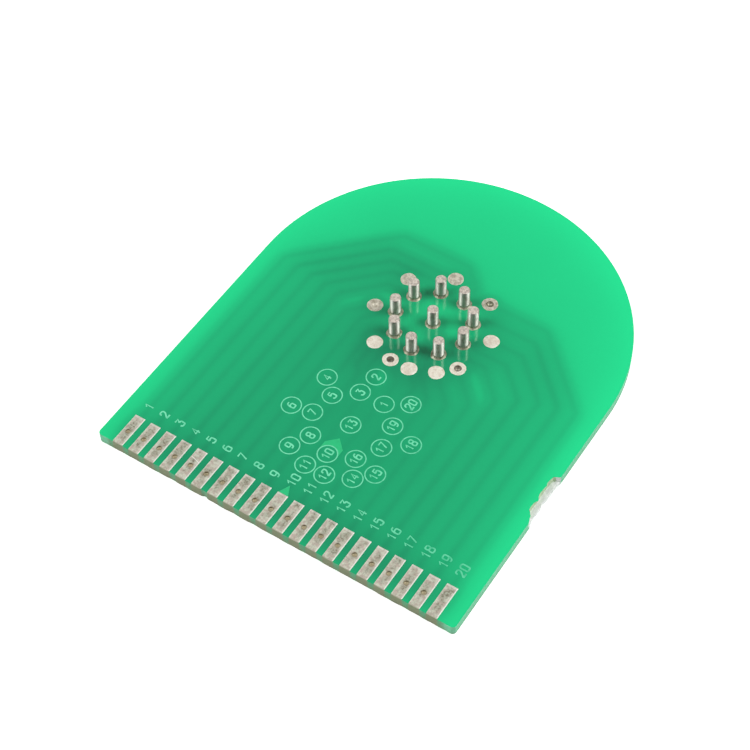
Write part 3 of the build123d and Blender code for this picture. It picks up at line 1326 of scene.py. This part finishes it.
@dataclass
class Print:
    """The numbers along the edge, the key of numbered circles, and the two pointers."""

    edge: Lettering = Lettering(0.66 * MM, 1.2 * MM, 1.0 * MM)
    edge_start: float = 6.75 * MM
    edge_shift: float = -0.12 * MM
    key: Lettering = Lettering(0.6 * MM, 1.12 * MM, 0.86 * MM)
    key_radius: float = 1.34 * MM
    key_back: float = 20.4 * MM
    stroke: float = 0.21 * MM
    stroke_rise: float = 0.04
    ring_stroke: float = 0.16 * MM
    ring_sides: int = 40
    film: float = 0.012 * MM
    pointed: int = 10
    triangle: tuple[Span, ...] = ((-0.73 * MM, 5.08 * MM), (0.73 * MM, 5.08 * MM), (0, 6.62 * MM))
    roof: tuple[Span, ...] = ((1.4 * MM, 14.8 * MM), (0, 16.2 * MM), (-1.4 * MM, 14.8 * MM))
    roof_turns: range = range(170, 9, -10)

    def spot(self, number: int) -> Vector:
        """The place of a contact's circle in the key, which repeats the rings nearer the edge."""
        place = joint_of(number)
        return Vector((place.x, place.y - self.key_back, HIGH.z))

    def write(self, curve: bpy.types.Curve, text: str, start: Vector, size: Lettering) -> None:
        """Adds a number's strokes to a curve. It reads along +Y, with its top towards -X.

        A stroke swells a little along its way, so that it lies on top where it crosses itself or another.

        Args:
            curve: The curve that takes the strokes.
            text: The digits.
            start: The foot of the first digit.
            size: The digits' size.
        """
        for place, digit in enumerate(text):
            for layer, stroke in enumerate(DIGITS[digit]):
                spline = curve.splines.new("NURBS" if stroke.smooth else "POLY")
                spline.points.add(len(stroke.points) - 1)
                rises = np.linspace(0, self.stroke_rise, len(stroke.points)) + layer * 2 * self.stroke_rise
                for point, (u, v), rise in zip(spline.points, stroke.points, rises):
                    along = start.y + place * size.advance + u * size.width
                    point.co = (start.x - v * size.height, along, 0, 1)
                    point.radius = 1 + rise
                if stroke.smooth:
                    spline.order_u = 3
                    spline.use_endpoint_u = True
                    spline.resolution_u = 5

    def inked(self, curve: bpy.types.Curve) -> BMesh:
        """Turns strokes into a thin film on the board's face.

        Args:
            curve: The strokes.

        Returns:
            The film's mesh.
        """
        curve.dimensions = "3D"
        curve.bevel_depth = self.stroke / 2
        curve.bevel_resolution = 1
        curve.use_fill_caps = True
        pen = placed("pen", curve)
        data = bpy.data.meshes.new_from_object(pen.evaluated_get(bpy.context.evaluated_depsgraph_get()))
        mesh = bmesh.new()
        mesh.from_mesh(data)
        bpy.data.objects.remove(pen)
        bpy.data.meshes.remove(data)
        for point in mesh.verts:
            point.co.z = HIGH.z + point.co.z * 2 * self.film / self.stroke
        bmesh.ops.recalc_face_normals(mesh, faces=mesh.faces[:])
        return mesh

    def build_edge_numbers(self, ink: Material) -> None:
        """Prints a number behind each contact."""
        curve = bpy.data.curves.new("edge_strokes", "CURVE")
        for number in CONTACTS:
            middle = contact_x(number) + self.edge_shift
            start = Vector((middle + self.edge.height / 2, LOW.y + self.edge_start, 0))
            self.write(curve, str(number), start, self.edge)
        finish_piece(self.inked(curve), "edge_numbers", [ink])

    def build_key(self, ink: Material) -> None:
        """Prints the key: a numbered circle for each pin and hole."""
        half = self.ring_stroke / 2
        face = HIGH.z
        section = [(self.key_radius - half, face), (self.key_radius - half / 2, face + self.film),
                   (self.key_radius + half / 2, face + self.film), (self.key_radius + half, face)]
        curve = bpy.data.curves.new("key_strokes", "CURVE")
        circles = bmesh.new()
        for number in CONTACTS:
            spot = self.spot(number)
            text = str(number)
            length = self.key.width + self.key.advance * (len(text) - 1)
            start = Vector((spot.x + self.key.height / 2, spot.y - length / 2, 0))
            self.write(curve, text, start, self.key)
            spin_into(circles, section, spot, self.ring_sides, closed=True)
        finish_piece(self.inked(curve), "key_numbers", [ink])
        finish_piece(sealed(circles), "key_circles", [ink])

    def build_pointers(self, green: Material) -> None:
        """Prints the triangle behind contact 10 and the house-shaped pointer over its circle."""
        x = contact_x(self.pointed)
        front = LOW.y
        triangle = [(x + aside, front + back) for aside, back in self.triangle]
        spot = self.spot(self.pointed)
        outer = self.key_radius + self.ring_stroke / 2
        turns = [math.radians(angle) for angle in self.roof_turns]
        arc = [(spot.x + outer * math.cos(t), spot.y + outer * math.sin(t)) for t in turns]
        house = [*arc, *[(spot.x + aside, front + back) for aside, back in self.roof]]
        mesh = bmesh.new()
        for outline in (triangle, house):
            face = mesh.faces.new([mesh.verts.new((px, py, HIGH.z - self.film)) for px, py in outline])
            raised = bmesh.ops.extrude_face_region(mesh, geom=[face])["geom"]
            tops = [v for v in raised if isinstance(v, bmesh.types.BMVert)]
            bmesh.ops.translate(mesh, verts=tops, vec=(0, 0, 2 * self.film))
        bmesh.ops.recalc_face_normals(mesh, faces=mesh.faces[:])
        finish_piece(mesh, "pointers", [green])


@dataclass(frozen=True)
class Lamp:
    """One soft lamp that faces the board."""

    name: str
    place: Triple
    power: float
    size: Span = (0.36, 0.46)


@dataclass(frozen=True)
class Flag:
    """A dimmed part of the sky: where it lies, how soft its rim is and what light it leaves."""

    way: Triple
    rim: Span
    left: float


@dataclass
class Studio:
    """A white floor, soft lamps to both sides and the camera of the photograph."""

    floor_half: float = 3.0
    floor_drop: float = 0.02 * MM
    place: Triple = (0.081835, -0.128964, 0.194144)
    turn: Triple = (37.699, 0.962, 32.949)
    lens: float = 87.173
    clip: Span = (0.005, 20.0)
    white: float = 0.9
    lift: float = 0.62
    lifted_rays: tuple[str, ...] = ("Is Camera Ray", "Is Glossy Ray", "Is Transmission Ray")
    lamps: tuple[Lamp, ...] = (
        Lamp("right_softbox", (0.4, 0.17, 0.5), 2.56),
        Lamp("left_softbox", (-0.36, -0.29, 0.52), 2.35),
    )
    sky: tuple[tuple[float, Colour], ...] = ((0.15, (1, 1, 1, 1)), (0.7, (0.15, 0.15, 0.15, 1)))
    flags: tuple[Flag, ...] = (
        Flag((0.562, -0.827, 0), (0.25, 0.8), 0.2),
        Flag((-0.331, 0.522, 0.786), (0.84, 0.96), 0.64),
    )

    def build(self) -> None:
        """Makes the floor, the light and the camera."""
        self.build_floor()
        self.build_world()
        for lamp in self.lamps:
            self.build_lamp(lamp)
        self.build_camera()

    def build_floor(self) -> None:
        """Makes the white floor, which keeps the shadow."""
        mesh = bmesh.new()
        bmesh.ops.create_grid(mesh, x_segments=2, y_segments=2, size=self.floor_half)
        bmesh.ops.translate(mesh, verts=mesh.verts[:], vec=(0, 0, -self.floor_drop))
        made = Paint("white_floor")
        made.tree.nodes.remove(made.shader)
        path = made.node("ShaderNodeLightPath", {}, {})
        seen = sum(Value(made.tree, path.outputs[ray]) for ray in self.lifted_rays)
        matt = made.node("ShaderNodeBsdfDiffuse", {}, {"Color": (self.white,) * 3 + (1,)})
        lift = made.node("ShaderNodeEmission", {}, {"Color": (1, 1, 1, 1), "Strength": seen * self.lift})
        both = made.node("ShaderNodeAddShader", {}, {0: matt.outputs[0], 1: lift.outputs[0]})
        made.feed(made.tree.nodes["Material Output"].inputs["Surface"], both.outputs[0])
        floor = placed("floor", stored("floor", mesh))
        floor.data.materials.append(made.material)

    def build_world(self) -> None:
        """Lights the room evenly from its sides, less from above, and dims it at each flag."""
        world = bpy.data.worlds.new("studio")
        world.use_nodes = True
        bpy.context.scene.world = world
        room = Nodes(world.node_tree)
        way = room.node("ShaderNodeTexCoord", {}, {}).outputs["Generated"]
        light = room.ramp(room.facing(way, UP), self.sky)
        for flag in self.flags:
            share = room.facing(way, flag.way).step(*flag.rim, 1.0, flag.left)
            scaled = room.node("ShaderNodeVectorMath", {"operation": "SCALE"}, {0: light, "Scale": share})
            light = scaled.outputs[0]
        room.feed(room.tree.nodes["Background"].inputs["Color"], light)

    def build_lamp(self, lamp: Lamp) -> None:
        """Adds one soft lamp."""
        light = bpy.data.lights.new(lamp.name, "AREA")
        light.shape = "RECTANGLE"
        light.size, light.size_y = lamp.size
        light.energy = lamp.power
        holder = placed(lamp.name, light)
        holder.location = lamp.place
        holder.rotation_euler = (-Vector(lamp.place)).to_track_quat("-Z", "Y").to_euler()

    def build_camera(self) -> None:
        """Sets the camera where the photograph was taken from."""
        camera = bpy.data.cameras.new("camera")
        camera.lens = self.lens
        camera.clip_start, camera.clip_end = self.clip
        holder = placed("camera", camera)
        holder.location = self.place
        holder.rotation_euler = Euler([math.radians(angle) for angle in self.turn], "XYZ")
        bpy.context.scene.camera = holder


def main() -> None:
    """Builds the board's pieces in order, then the studio."""
    logging.basicConfig(level=logging.INFO, format="%(name)s %(message)s")
    bpy.context.scene.view_settings.view_transform = "Standard"
    solder = {finish.look: finish.paint() for finish in SOLDERS}
    Board(UndersideShade()).build({
        BoardFace.MASK: MaskFinish().paint(),
        BoardFace.EDGE: EdgeFinish().paint(),
        BoardFace.BARE: BARE_CLOTH.paint(),
        BoardFace.VIA: VIA_WALL.paint(),
        BoardFace.BREAK: BROKEN_EDGE.paint(),
    })
    CopperNets().build({
        NetFace.TIN: TinFinish().paint(),
        NetFace.TRACK: MASKED_TRACK.paint(),
        NetFace.PAD: solder[SolderLook.DULL],
    })
    ViaFlux().build(OLD_FLUX.paint())
    Pins().build(PinFinish().paint(), PIN_TOP.paint(), solder[SolderLook.COLLAR])
    SolderedHoles().build(solder)
    legend = Print()
    ink = NUMBER_INK.paint()
    legend.build_edge_numbers(ink)
    legend.build_key(ink)
    legend.build_pointers(POINTER_INK.paint())
    Studio().build()


if __name__ == "__main__":
    main()
